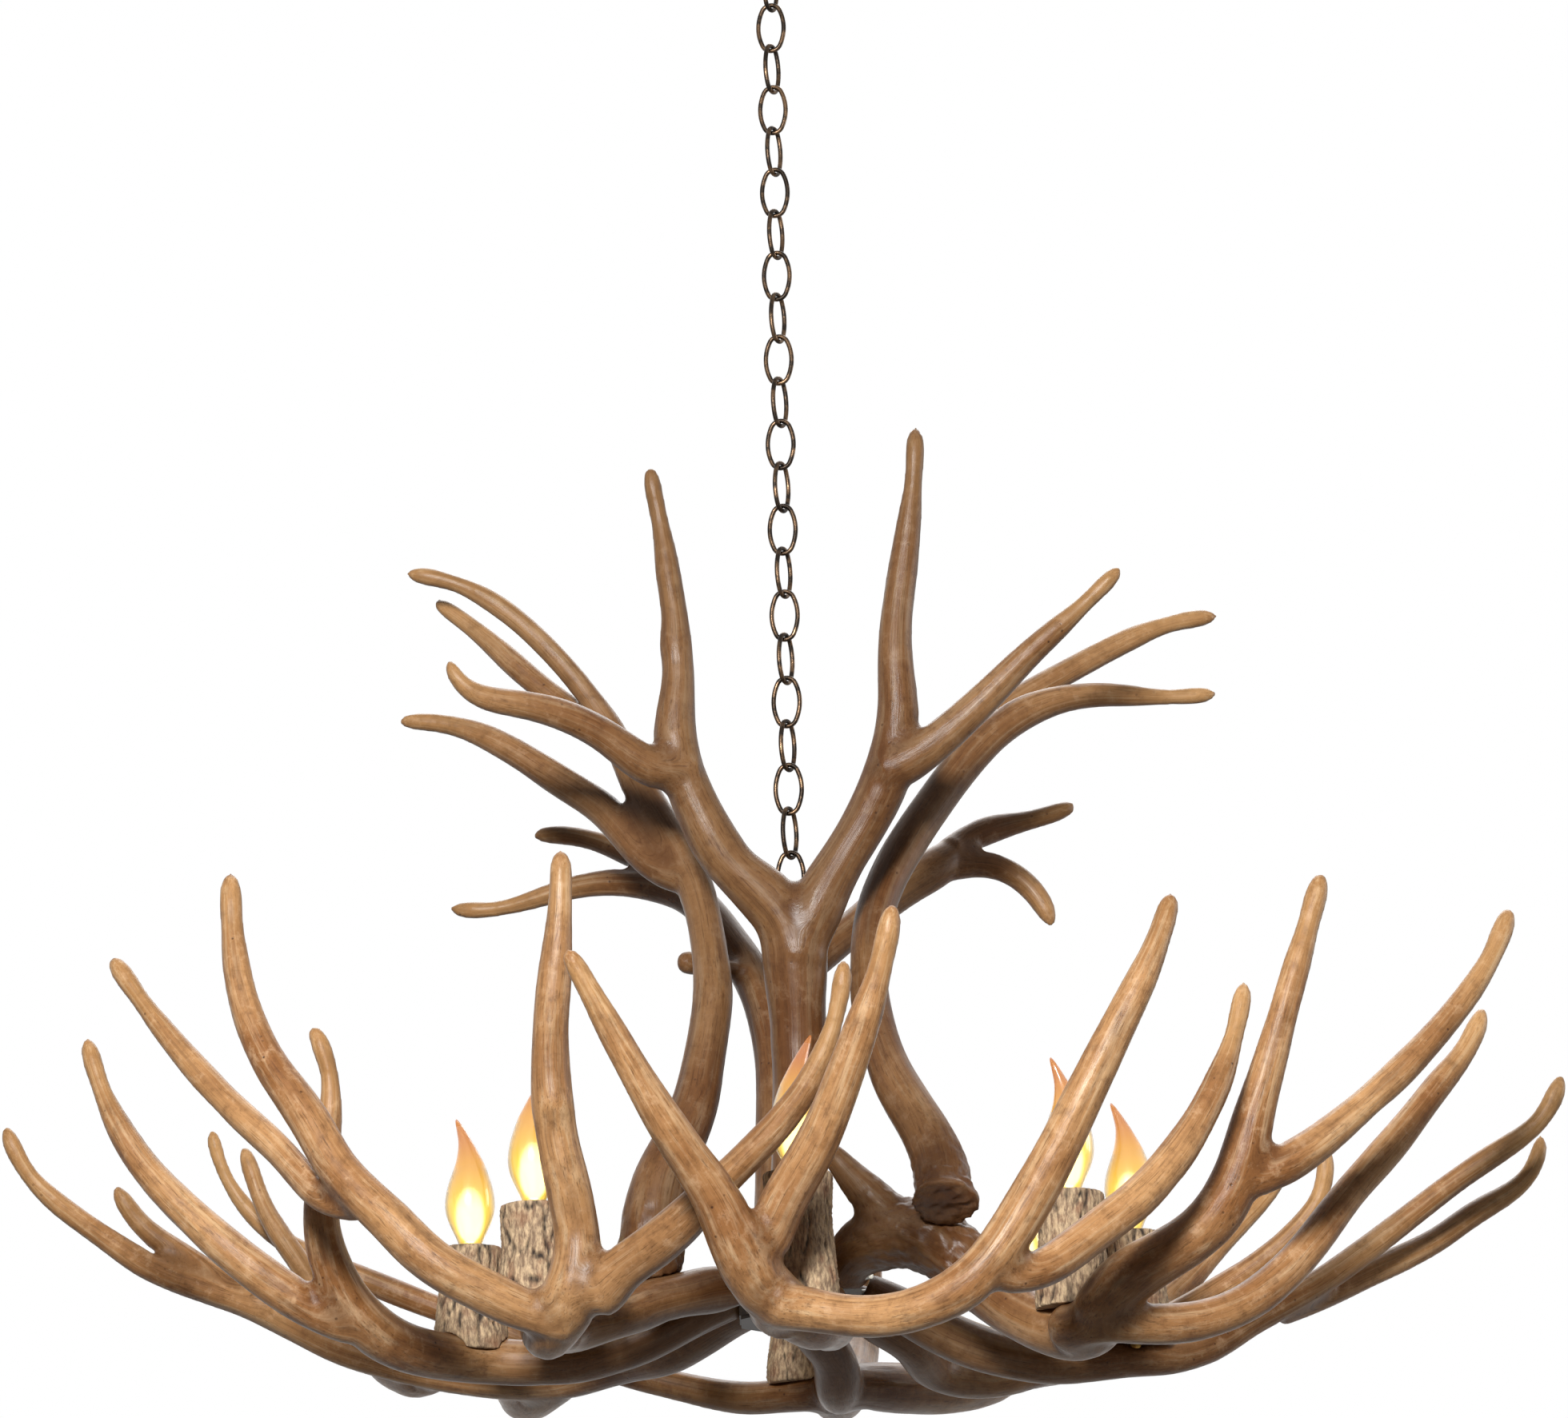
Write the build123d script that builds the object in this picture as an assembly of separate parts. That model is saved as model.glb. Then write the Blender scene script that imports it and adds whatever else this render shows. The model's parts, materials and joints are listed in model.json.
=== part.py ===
from build123d import *
import math
import os

# Antler chandelier on a link chain. Millimetres, +Z up.
# The origin is the centre of the top face of the ceiling loop's collar, +X is to the right
# and +Y runs away from someone who stands in front of the lamp.
# All points of the antlers and candles give the height above the plane of the candle rims.

# ---------------------------------------------------------------- driving dimensions
RUNNING_GAP = 0.3            # between pieces that move past each other, or that are coped to fit
SCREW_GAP = 0.1              # between a screw or stud and its hole

# Chain: oval links bent from one wire size
LINK_COUNT = 22
LINK_WIRE = 3.3
LINK_LENGTH = 38.7
LINK_WIDTH = 22.0
LINK_END_RADIUS = 7.0        # centreline radius of a link's two ends
FACE_LINK_YAW = -12.0        # the chain hangs with a slight twist, so neither
EDGE_LINK_YAW = 60.0         # set of links is quite face-on or edge-on

# Loops at both ends of the chain: a threaded collar with a ring
COLLAR_LENGTH = 16.0
COLLAR_DIAMETER = 21.0
COLLAR_BORE_DEPTH = 13.0
COLLAR_CHAMFER = 1.0
RING_WIRE = 5.0
RING_OPENING = 20.0
RING_SINK = 1.5              # the ring is brazed this deep into its collar

# Threaded stem and the eight-sided hub that carries the antlers
STEM_DIAMETER = 12.0
STEM_BELOW_HUB = 14.0
NUT_ACROSS_FLATS = 19.0
NUT_HEIGHT = 6.5
HUB_FLAT_RADIUS = 42.0
HUB_TOP = -18.0
HUB_HEIGHT = 36.0
HUB_WALL = 4.0
COVER_THICKNESS = 2.5
COVER_INSET = 1.0            # the cover stands back from the hub's flats

# Wood screws
SCREW_DIAMETER = 5.0
SCREW_GRIP = 26.0            # depth in an antler's base
HEAD_DIAMETER = 10.0
HEAD_HEIGHT = 3.0

# Candles: bark sleeve, lamp socket on a threaded stud, flame-shaped bulb
SLEEVE_DIAMETER = 46.0
SLEEVE_FLARE = 2.5           # how much the sleeve's foot stands out all round
SLEEVE_BORE = 25.0
SLEEVE_COPE = 9.0            # the foot reaches this far down the sides of its antler
SLEEVE_WAIST = 0.45          # place of the sleeve's narrowest ring, as a share of its height
RIM_INSET = 1.0              # the sleeve is this much thinner at its rim and its waist
RIM_DEPTH = 2.0              # depth at which it has its full width
FLARE_HEIGHT = 4.0           # the foot's flare starts this far above the antler
SOCKET_DIAMETER = 22.0
SOCKET_TOP = -4.0
SOCKET_LENGTH = 34.0
STUD_DIAMETER = 10.0
STUD_GRIP = 13.0             # depth in the antler
STUD_HOLE_LENGTH = 60.0      # the drill comes in from above the antler
BASE_DIAMETER = 11.9
BASE_LENGTH = 20.0
BASE_CHAMFER = 2.0
GLASS_FOOT = -2.0            # height of the joint between the bulb's glass and its base
GLASS_WALL = 0.8

# Bulb outline: height, radius, sideways bend of the flame tip
BULB_SECTIONS = [
    (GLASS_FOOT, 6.5, 0.0),
    (8.0, 9.5, 0.0),
    (21.0, 15.8, 0.0),
    (32.0, 17.5, 0.0),
    (45.0, 15.3, -0.5),
    (60.0, 9.8, -0.5),
    (74.0, 5.2, 2.5),
    (86.0, 2.6, 7.5),
]
BULB_TIP = (92.0, 10.5)

# Candle places: x, y, height of the sleeve's foot, direction of the flame's bent tip in degrees
CANDLES = {
    "front": (0, -225, -79, 0),
    "front_right": (181, -140, -69, 200),
    "right": (228, 0, -68, 170),
    "back_right": (158, 170, -46, 0),
    "back": (0, 228, -50, 90),
    "back_left": (-158, 170, -47, 180),
    "left": (-226, 0, -64, 150),
    "front_left": (-176, -140, -69, 0),
}

# Antlers. Each limb is a list of (x, y, height, thickness); the first limb is the main beam,
# which starts at the butt, and the others are tines that grow out of it.
LOWER_ANTLERS = {
    "front": [
        [(0, -44, -37, 28), (10, -80, -52, 33), (18, -125, -74, 35), (16, -200, -96, 34),
         (-6, -262, -98, 36), (-31, -296, -78, 39), (-52, -318, -36, 31), (-75, -335, -2, 27),
         (-99, -352, 36, 22), (-121, -366, 75, 18), (-141, -375, 112, 10)],
        [(-23, -296, -63, 31), (-6, -306, -30, 30), (12, -318, -1, 28), (34, -335, 47, 25),
         (51, -350, 91, 20), (64, -360, 140, 10)],
        [(-12, -262, -100, 36), (-8, -292, -101, 30), (30, -310, -111, 27), (76, -325, -110, 28),
         (109, -332, -94, 30), (138, -336, -59, 30), (173, -345, 0, 27), (202, -350, 56, 25),
         (225, -350, 100, 20), (243, -345, 147, 11)],
        [(124, -330, -86, 27), (150, -318, -86, 25), (179, -305, -67, 26), (217, -290, -36, 26),
         (250, -278, 2, 23), (276, -268, 49, 18), (294, -260, 109, 8)],
    ],
    "front_left": [
        [(-31, -31, -37, 28), (-60, -54, -43, 31), (-88, -76, -52, 31), (-128, -118, -72, 32),
         (-166, -165, -88, 38), (-153, -205, -79, 40), (-145, -212, -43, 32),
         (-151, -222, -3, 29), (-159, -235, 48, 27), (-159, -245, 100, 24),
         (-154, -252, 152, 20), (-151, -256, 207, 12)],
        [(-139, -208, -75, 34), (-104, -228, -53, 31), (-77, -246, -36, 29),
         (-50, -262, -13, 23), (-24, -272, 10, 21), (3, -282, 39, 19), (22, -292, 74, 14),
         (33, -300, 120, 8)],
        [(-151, -200, -88, 31), (-181, -205, -82, 29), (-209, -212, -69, 30),
         (-240, -215, -50, 30), (-271, -212, -19, 29), (-301, -205, 14, 29),
         (-322, -198, 50, 27), (-346, -190, 87, 25), (-364, -182, 128, 21),
         (-372, -176, 165, 18), (-376, -170, 220, 11)],
        [(-285, -200, -6, 25), (-313, -185, 1, 22), (-338, -170, 29, 20), (-365, -155, 58, 20),
         (-392, -142, 88, 19), (-424, -130, 128, 16), (-458, -118, 178, 10)],
    ],
    "left": [
        [(-44, 0, -37, 28), (-75, 0, -50, 32), (-110, 2, -66, 32), (-168, 0, -80, 32),
         (-225, -5, -78, 32), (-257, -30, -77, 33), (-287, -58, -67, 34), (-310, -80, -38, 30),
         (-320, -92, -7, 26), (-321, -98, 22, 23), (-315, -104, 68, 17), (-324, -110, 129, 9)],
        [(-295, -62, -62, 30), (-326, -72, -54, 28), (-354, -78, -37, 28), (-381, -80, -16, 27),
         (-409, -78, 10, 25), (-452, -70, 61, 20), (-467, -66, 89, 16), (-483, -60, 137, 8)],
    ],
    "back_left": [
        [(-31, 31, -37, 28), (-60, 62, -47, 29), (-90, 95, -58, 28), (-128, 140, -58, 26),
         (-172, 175, -62, 27), (-219, 200, -56, 26), (-259, 212, -48, 25), (-300, 215, -37, 24),
         (-334, 210, -26, 23), (-395, 190, 2, 21), (-433, 178, 14, 21), (-468, 168, 29, 19),
         (-497, 158, 48, 17), (-542, 144, 84, 14), (-562, 138, 120, 8)],
        [(-376, 196, -9, 19), (-401, 190, 13, 19), (-422, 186, 24, 19), (-443, 180, 37, 19),
         (-463, 176, 52, 17), (-486, 170, 82, 9)],
        [(-314, 214, -33, 20), (-340, 222, 1, 18), (-361, 228, 38, 17), (-379, 232, 66, 16),
         (-393, 235, 97, 13), (-401, 236, 123, 8)],
        [(-172, 178, -62, 28), (-195, 238, -61, 34), (-206, 302, -43, 36), (-202, 364, 2, 33),
         (-190, 408, 58, 24), (-184, 424, 104, 10)],
        [(-259, 214, -48, 25), (-285, 265, -40, 28), (-308, 312, -18, 26), (-324, 350, 16, 12)],
    ],
    "back": [
        [(0, 44, -37, 28), (10, 78, -48, 31), (22, 110, -62, 32), (26, 160, -76, 33),
         (22, 205, -68, 30), (-14, 230, -66, 26), (-48, 248, -63, 24), (-83, 258, -54, 22),
         (-117, 262, -44, 21), (-175, 268, -23, 20), (-257, 275, 9, 19), (-332, 275, 41, 18),
         (-382, 272, 68, 15), (-408, 268, 95, 12), (-427, 262, 142, 7)],
        [(26, 150, -74, 32), (62, 196, -68, 36), (100, 248, -60, 38), (135, 300, -45, 38),
         (160, 352, -15, 34), (172, 392, 26, 24), (176, 410, 66, 10)],
        [(20, 208, -68, 32), (26, 262, -62, 36), (34, 318, -42, 38), (40, 374, -8, 34),
         (48, 414, 42, 27), (58, 436, 104, 11)],
    ],
    "back_right": [
        [(31, 31, -37, 28), (58, 62, -48, 30), (80, 92, -60, 30), (92, 125, -68, 29),
         (125, 150, -70, 31), (163, 172, -61, 29), (210, 195, -43, 25), (257, 205, -25, 23),
         (304, 208, 1, 21), (345, 205, 29, 18), (372, 200, 59, 15), (380, 195, 96, 8)],
        [(228, 200, -35, 23), (252, 222, -13, 21), (277, 240, 10, 20), (309, 256, 46, 17),
         (334, 266, 71, 14), (354, 272, 98, 8)],
        [(163, 174, -61, 29), (192, 230, -44, 34), (207, 295, -22, 35), (210, 357, 18, 31),
         (206, 398, 66, 22), (204, 413, 104, 10)],
        [(257, 207, -25, 23), (292, 256, -14, 27), (320, 304, 2, 24), (336, 334, 20, 12)],
    ],
    "right": [
        [(44, 0, -37, 28), (75, 4, -52, 31), (110, 10, -70, 32), (170, 8, -86, 31),
         (228, 5, -86, 26), (273, 20, -79, 22), (311, 35, -56, 21), (350, 45, -34, 20),
         (379, 50, -15, 19), (407, 52, 5, 18), (446, 52, 34, 17), (484, 50, 59, 16),
         (517, 46, 82, 14), (533, 42, 110, 8)],
        [(331, 48, -48, 19), (370, 70, -30, 19), (409, 86, -10, 19), (449, 96, 11, 18),
         (478, 102, 31, 17), (503, 106, 46, 15), (518, 108, 61, 12), (525, 108, 82, 7)],
    ],
    "front_right": [
        [(31, -31, -34, 27), (54, -60, -11, 47), (84, -78, -14, 48), (124, -92, -50, 42),
         (163, -122, -86, 35), (190, -152, -95, 38), (204, -190, -78, 39), (230, -205, -61, 35),
         (259, -215, -45, 34), (285, -222, -13, 34), (298, -228, 26, 28), (307, -232, 54, 24),
         (319, -235, 91, 21), (332, -236, 131, 18), (349, -235, 186, 11)],
        [(60, -72, 4, 32), (40, -70, 26, 24), (24, -70, 46, 14)],
        [(286, -222, -13, 29), (316, -222, -2, 26), (359, -216, 28, 22), (398, -210, 62, 20),
         (431, -202, 97, 18), (457, -194, 131, 16), (477, -186, 172, 10)],
        [(178, -150, -94, 34), (209, -180, -96, 27), (252, -172, -95, 27), (292, -160, -81, 26),
         (332, -145, -47, 24), (364, -132, -7, 23), (399, -120, 33, 22), (434, -108, 76, 19),
         (458, -100, 108, 14), (466, -96, 127, 8)],
    ],
}
UPPER_ANTLERS = {
    "front": [
        [(-3, -38, -24, 38), (-1, -39, 30, 37), (2, -42, 87, 37), (3, -44, 135, 38),
         (2, -48, 179, 44), (-4, -53, 212, 43), (-39, -62, 250, 34), (-65, -69, 296, 33),
         (-77, -74, 336, 31), (-75, -76, 382, 23), (-76, -77, 422, 20), (-83, -78, 480, 15),
         (-91, -82, 530, 9)],
        [(4, -52, 189, 42), (14, -56, 216, 38), (40, -61, 261, 32), (64, -67, 303, 34),
         (76, -74, 347, 31), (76, -78, 400, 24), (82, -79, 452, 21), (89, -84, 497, 16),
         (94, -88, 553, 9)],
        [(-64, -70, 314, 33), (-102, -83, 323, 26), (-143, -98, 347, 22),
         (-174, -109, 355, 20), (-204, -118, 360, 17), (-222, -123, 367, 13),
         (-229, -125, 381, 8)],
        [(66, -72, 313, 33), (97, -80, 328, 27), (139, -89, 362, 22), (170, -98, 390, 18),
         (201, -104, 416, 14), (230, -109, 443, 7)],
    ],
    "left": [
        [(-104, -67, -46, 46), (-100, -65, -10, 44), (-95, -62, 24, 40), (-73, -52, 76, 33),
         (-62, -40, 123, 29), (-56, -30, 165, 28), (-58, -15, 203, 25), (-65, 2, 247, 26),
         (-83, 14, 291, 26), (-105, 26, 333, 25), (-124, 36, 377, 19), (-141, 38, 405, 17),
         (-174, 38, 446, 16), (-211, 38, 478, 15), (-265, 38, 498, 8)],
        [(-110, 28, 345, 20), (-133, 50, 382, 18), (-176, 62, 420, 18), (-213, 70, 457, 16),
         (-248, 76, 487, 8)],
        [(-71, 6, 260, 22), (-103, 20, 282, 23), (-127, 34, 316, 24), (-164, 45, 346, 22),
         (-213, 57, 381, 18), (-247, 63, 394, 13), (-273, 66, 397, 7)],
    ],
    "back": [
        [(-12, 38, -24, 36), (-13, 44, 30, 36), (-12, 52, 103, 33), (-14, 60, 145, 30),
         (-26, 77, 199, 28), (-48, 98, 242, 28), (-80, 123, 282, 26), (-109, 137, 292, 22),
         (-143, 147, 295, 18), (-173, 153, 290, 15), (-208, 158, 282, 12), (-243, 163, 283, 7)],
        [(-31, 80, 210, 15), (-51, 64, 211, 11), (-73, 50, 211, 16)],
        [(-88, 128, 285, 20), (-108, 144, 312, 17), (-132, 157, 326, 16), (-161, 166, 337, 13),
         (-183, 172, 339, 7)],
        [(-22, 68, 175, 26), (4, 84, 209, 25), (41, 101, 244, 25), (72, 118, 273, 28),
         (104, 135, 298, 29), (126, 148, 318, 20), (138, 154, 334, 9)],
        [(117, 141, 311, 23), (138, 154, 328, 20), (170, 164, 339, 16), (204, 172, 351, 8)],
        [(93, 128, 289, 23), (124, 143, 302, 20), (150, 150, 301, 19), (173, 152, 285, 17),
         (186, 149, 260, 8)],
    ],
    "right": [
        [(98, -124, -2, 46), (96, -112, 24, 37), (87, -102, 52, 35), (73, -88, 80, 31),
         (62, -72, 110, 28), (54, -56, 145, 27), (52, -34, 190, 26), (57, -14, 225, 27),
         (76, 4, 273, 28), (102, 18, 315, 28), (133, 30, 356, 27), (167, 38, 384, 24),
         (206, 42, 397, 19), (244, 46, 398, 15), (302, 50, 399, 7)],
        [(134, 37, 354, 20), (157, 64, 396, 19), (183, 74, 415, 19), (222, 82, 438, 18),
         (262, 88, 458, 15), (307, 92, 469, 8)],
    ],
}
HUB_DIRECTIONS = {            # direction of each lower antler's butt at the hub, in degrees
    "front": -90, "front_left": -135, "left": 180, "back_left": 135,
    "back": 90, "back_right": 45, "right": 0, "front_right": -45,
}
TIP_REACH = 0.55              # a tine's rounded end, as a share of its last thickness
SECTION_SPACING = 28.0        # distance between a limb's cross-sections
FEWEST_SPACES = 4             # a short tine still has this many of them
STEEP = 0.8                   # past this share of Y, a limb's sections are squared to X
HUB_TOP_CUT = (200.0, 200.0, 50.0)  # block that cuts the upper antlers' butts level

# Where the upper antlers are screwed down: head end and point of each wood screw
FRONT_SCREW = (-2, -30)       # two screws rise through the hub's top
BACK_SCREW = (-10, 30)
LEFT_SCREW_HEAD = (-96, -76, -66)  # one rises through the front left antler
LEFT_SCREW_POINT = (-96, -76, -10)
RIGHT_SCREW_HEAD = (90, -64, -16)
RIGHT_SCREW_POINT = (97, -122, 10)

# ---------------------------------------------------------------- derived heights
LINK_PITCH = LINK_LENGTH - 2 * LINK_WIRE - RUNNING_GAP
RING_RADIUS = (RING_OPENING + RING_WIRE) / 2
RING_DROP = COLLAR_LENGTH - RING_SINK + RING_RADIUS + RING_WIRE / 2
LINK_TO_RING = LINK_LENGTH / 2 - LINK_WIRE - RUNNING_GAP + RING_RADIUS - RING_WIRE / 2
TOP_RING_Z = -RING_DROP
FIRST_LINK_Z = TOP_RING_Z - LINK_TO_RING
LAST_LINK_Z = FIRST_LINK_Z - (LINK_COUNT - 1) * LINK_PITCH
STEM_RING_Z = LAST_LINK_Z - LINK_TO_RING
RING_ABOVE_RIMS = 233.0       # height of the stem's ring above the candle rims
RIM_Z = STEM_RING_Z - RING_ABOVE_RIMS
HUB_BOTTOM = HUB_TOP - HUB_HEIGHT


def export(shape, name):
    export_step(shape, f"parts/{name}.step")


def lowered(shape):
    """Move a shape from heights above the candle rims into the lamp's own frame."""
    return Pos(0, 0, RIM_Z) * shape


# ---------------------------------------------------------------- chain and loops
def oval_link():
    """A link in the XZ plane: four tangent arcs swept with the wire."""
    half_width = (LINK_WIDTH - LINK_WIRE) / 2
    end_offset = (LINK_LENGTH - LINK_WIRE) / 2 - LINK_END_RADIUS
    side_radius = (half_width**2 + end_offset**2 - LINK_END_RADIUS**2) / (
        2 * (half_width - LINK_END_RADIUS)
    )
    side_offset = side_radius - half_width
    turn = math.degrees(math.atan2(end_offset, side_offset))
    outline = Wire(
        [
            CenterArc((-side_offset, 0), side_radius, -turn, 2 * turn),
            CenterArc((0, end_offset), LINK_END_RADIUS, turn, 180 - 2 * turn),
            CenterArc((side_offset, 0), side_radius, 180 - turn, 2 * turn),
            CenterArc((0, -end_offset), LINK_END_RADIUS, 180 + turn, 180 - 2 * turn),
        ]
    )
    wire_section = Plane(origin=outline @ 0, z_dir=outline % 0) * Circle(LINK_WIRE / 2)
    return Rot(90, 0, 0) * sweep(wire_section, outline)


def collar_loop():
    """A threaded collar, its top face at z = 0, with a ring below it in the XZ plane."""
    collar = Cylinder(COLLAR_DIAMETER / 2, COLLAR_LENGTH, align=(Align.CENTER, Align.CENTER, Align.MAX))
    collar = chamfer(collar.edges().filter_by(GeomType.CIRCLE), COLLAR_CHAMFER)
    ring = Pos(0, 0, -RING_DROP) * Rot(90, 0, 0) * Torus(RING_RADIUS, RING_WIRE / 2)
    bore = Cylinder(STEM_DIAMETER / 2 + SCREW_GAP, 2 * COLLAR_BORE_DEPTH)
    return collar + ring - bore


def make_chain():
    link = oval_link()
    for number in range(LINK_COUNT):
        edge_on = number % 2 == 0
        yaw = EDGE_LINK_YAW if edge_on else FACE_LINK_YAW
        height = FIRST_LINK_Z - number * LINK_PITCH
        export(Pos(0, 0, height) * Rot(0, 0, yaw) * link, f"chain_link_{number + 1:02d}")


def make_loops():
    export(Rot(0, 0, FACE_LINK_YAW) * collar_loop(), "ceiling_loop")
    last_is_edge_on = (LINK_COUNT - 1) % 2 == 0
    stem_yaw = FACE_LINK_YAW if last_is_edge_on else EDGE_LINK_YAW
    upside_down = Pos(0, 0, STEM_RING_Z - RING_DROP) * Rot(0, 0, stem_yaw) * Rot(180, 0, 0)
    export(upside_down * collar_loop(), "stem_loop")


# ---------------------------------------------------------------- antlers
def thickness_at(place, places, points):
    """Thickness at a place along a limb, in a straight line between its points."""
    for low, high, start, end in zip(places, places[1:], points, points[1:]):
        if place <= high:
            share = (place - low) / (high - low)
            return start[3] + share * (end[3] - start[3])
    return points[-1][3]


def limb(points, swell=0.0):
    """A smooth tapering limb: even circles along a spline, closed by a rounded tip."""
    centres = [Vector(x, y, z) for x, y, z, _ in points]
    path = Spline(centres)
    places = [path.param_at_point(centre) for centre in centres]
    steps = max(FEWEST_SPACES, round(path.length / SECTION_SPACING))
    side = Vector(0, 1, 0) if abs((path % 0).Y) < STEEP else Vector(1, 0, 0)
    sections = []
    for step in range(steps + 1):
        place = step / steps
        along = path % place
        side = (side - along * side.dot(along)).normalized()
        radius = (thickness_at(place, places, points) + swell) / 2
        ring = Plane(origin=path @ place, x_dir=side, z_dir=along) * Circle(radius)
        sections.append(ring.face().outer_wire())
    tip = centres[-1] + (path % 1) * (TIP_REACH * points[-1][3] + swell / 2)
    return Solid.make_loft(sections + [Vertex(tip)])


def grow(limbs):
    """One antler: its tines fused to its main beam."""
    beam, *tines = [limb(points) for points in limbs]
    return beam.fuse(*tines) if tines else beam


def hub_prism(flat_radius, bottom, top):
    """The eight-sided prism of the hub, with a flat towards each lower antler."""
    outline = RegularPolygon(flat_radius, 8, major_radius=False, rotation=22.5)
    return Pos(0, 0, bottom) * extrude(outline, top - bottom)


def candle_beam(name, swell):
    """The main beam that a candle stands on, a little thicker for its clearance."""
    return limb(LOWER_ANTLERS[name][0], swell)


def screw_between(head, point, gap=0.0, counterbore=0.0):
    """A wood screw from the top of its head to its point, or its hole if a gap is given."""
    start = Vector(*head)
    way = Vector(*point) - start
    plane = Plane(origin=start, z_dir=way)
    low = (Align.CENTER, Align.CENTER, Align.MIN)
    shank = Cylinder(SCREW_DIAMETER / 2 + gap, way.length + gap, align=low)
    head_disc = Cylinder(HEAD_DIAMETER / 2 + gap, HEAD_HEIGHT + counterbore, align=low)
    return plane * (shank + Pos(0, 0, -counterbore) * head_disc)


def hub_screw_ends(name):
    """A screw lies along each lower antler's butt, its head inside the hub."""
    angle = math.radians(HUB_DIRECTIONS[name])
    height = LOWER_ANTLERS[name][0][0][2]
    inside = HUB_FLAT_RADIUS - HUB_WALL - HEAD_HEIGHT
    outside = HUB_FLAT_RADIUS + SCREW_GRIP
    head = (inside * math.cos(angle), inside * math.sin(angle), height)
    point = (outside * math.cos(angle), outside * math.sin(angle), height)
    return head, point


HEAD_UNDER_HUB_TOP = HUB_TOP - HUB_WALL - HEAD_HEIGHT
HUB_TOP_SCREWS = {
    "front": ((*FRONT_SCREW, HEAD_UNDER_HUB_TOP), (*FRONT_SCREW, HUB_TOP + SCREW_GRIP)),
    "back": ((*BACK_SCREW, HEAD_UNDER_HUB_TOP), (*BACK_SCREW, HUB_TOP + SCREW_GRIP)),
}
LEFT_SCREW_ENDS = (LEFT_SCREW_HEAD, LEFT_SCREW_POINT)
RIGHT_SCREW_ENDS = (RIGHT_SCREW_HEAD, RIGHT_SCREW_POINT)
SUNK_HEAD = 12.0              # depth of the counterbore over a head that sits in an antler


def make_lower_antlers():
    hub_space = hub_prism(HUB_FLAT_RADIUS, HUB_BOTTOM - HUB_WALL, HUB_TOP + HUB_WALL)
    for name, limbs in LOWER_ANTLERS.items():
        antler = grow(limbs) - hub_space
        antler -= screw_between(*hub_screw_ends(name), gap=SCREW_GAP)
        x, y, foot, _ = CANDLES[name]
        stud_hole = Pos(x, y, foot - STUD_GRIP) * Cylinder(
            STUD_DIAMETER / 2 + SCREW_GAP,
            STUD_HOLE_LENGTH,
            align=(Align.CENTER, Align.CENTER, Align.MIN),
        )
        antler -= stud_hole
        if name == "front_left":
            antler -= screw_between(*LEFT_SCREW_ENDS, gap=SCREW_GAP, counterbore=SUNK_HEAD)
        if name == "front_right":
            antler -= screw_between(*RIGHT_SCREW_ENDS, gap=SCREW_GAP, counterbore=SUNK_HEAD)
        export(lowered(antler), f"lower_antler_{name}")


def make_upper_antlers():
    below_hub_top = Pos(0, 0, HUB_TOP) * Box(
        *HUB_TOP_CUT, align=(Align.CENTER, Align.CENTER, Align.MAX)
    )
    front = grow(UPPER_ANTLERS["front"]) - below_hub_top
    front -= screw_between(*HUB_TOP_SCREWS["front"], gap=SCREW_GAP)
    back = grow(UPPER_ANTLERS["back"]) - below_hub_top
    back -= screw_between(*HUB_TOP_SCREWS["back"], gap=SCREW_GAP)
    left = grow(UPPER_ANTLERS["left"]) - candle_beam("front_left", 2 * RUNNING_GAP)
    left -= screw_between(*LEFT_SCREW_ENDS, gap=SCREW_GAP)
    right = grow(UPPER_ANTLERS["right"]) - candle_beam("front_right", 2 * RUNNING_GAP)
    right -= screw_between(*RIGHT_SCREW_ENDS, gap=SCREW_GAP)
    for name, antler in (("front", front), ("back", back), ("left", left), ("right", right)):
        export(lowered(antler), f"upper_antler_{name}")


# ---------------------------------------------------------------- hub, stem and fasteners
def make_hub():
    shell = hub_prism(HUB_FLAT_RADIUS, HUB_BOTTOM, HUB_TOP)
    shell -= hub_prism(HUB_FLAT_RADIUS - HUB_WALL, HUB_BOTTOM, HUB_TOP - HUB_WALL)
    stem_hole = Pos(0, 0, HUB_TOP) * Cylinder(STEM_DIAMETER / 2 + SCREW_GAP, 4 * HUB_WALL)
    hub = shell - stem_hole
    for name in LOWER_ANTLERS:
        hub -= screw_between(*hub_screw_ends(name), gap=SCREW_GAP)
    for ends in HUB_TOP_SCREWS.values():
        hub -= screw_between(*ends, gap=SCREW_GAP)
    export(lowered(hub), "hub")
    cover = hub_prism(HUB_FLAT_RADIUS - COVER_INSET, HUB_BOTTOM - COVER_THICKNESS, HUB_BOTTOM)
    cover_hole = Pos(0, 0, HUB_BOTTOM) * Cylinder(STEM_DIAMETER / 2 + SCREW_GAP, 4 * HUB_WALL)
    export(lowered(cover - cover_hole), "hub_cover")


def make_stem():
    bottom = HUB_BOTTOM - COVER_THICKNESS - STEM_BELOW_HUB
    top = RING_ABOVE_RIMS - RING_DROP + COLLAR_BORE_DEPTH - RUNNING_GAP
    stem = Pos(0, 0, bottom) * Cylinder(
        STEM_DIAMETER / 2, top - bottom, align=(Align.CENTER, Align.CENTER, Align.MIN)
    )
    export(lowered(stem), "stem")
    nut = extrude(RegularPolygon(NUT_ACROSS_FLATS / 2, 6, major_radius=False), NUT_HEIGHT)
    nut -= Cylinder(STEM_DIAMETER / 2 + SCREW_GAP, 4 * NUT_HEIGHT)
    upper_nut = Pos(0, 0, HUB_TOP) * nut
    lower_nut = Pos(0, 0, HUB_BOTTOM - COVER_THICKNESS - NUT_HEIGHT) * nut
    export(lowered(Compound([upper_nut, lower_nut])), "stem_nuts")


def make_screws():
    ends = [hub_screw_ends(name) for name in LOWER_ANTLERS]
    ends += [*HUB_TOP_SCREWS.values(), LEFT_SCREW_ENDS, RIGHT_SCREW_ENDS]
    screws = [screw_between(head, point) for head, point in ends]
    export(lowered(Compound(screws)), "wood_screws")


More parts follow.
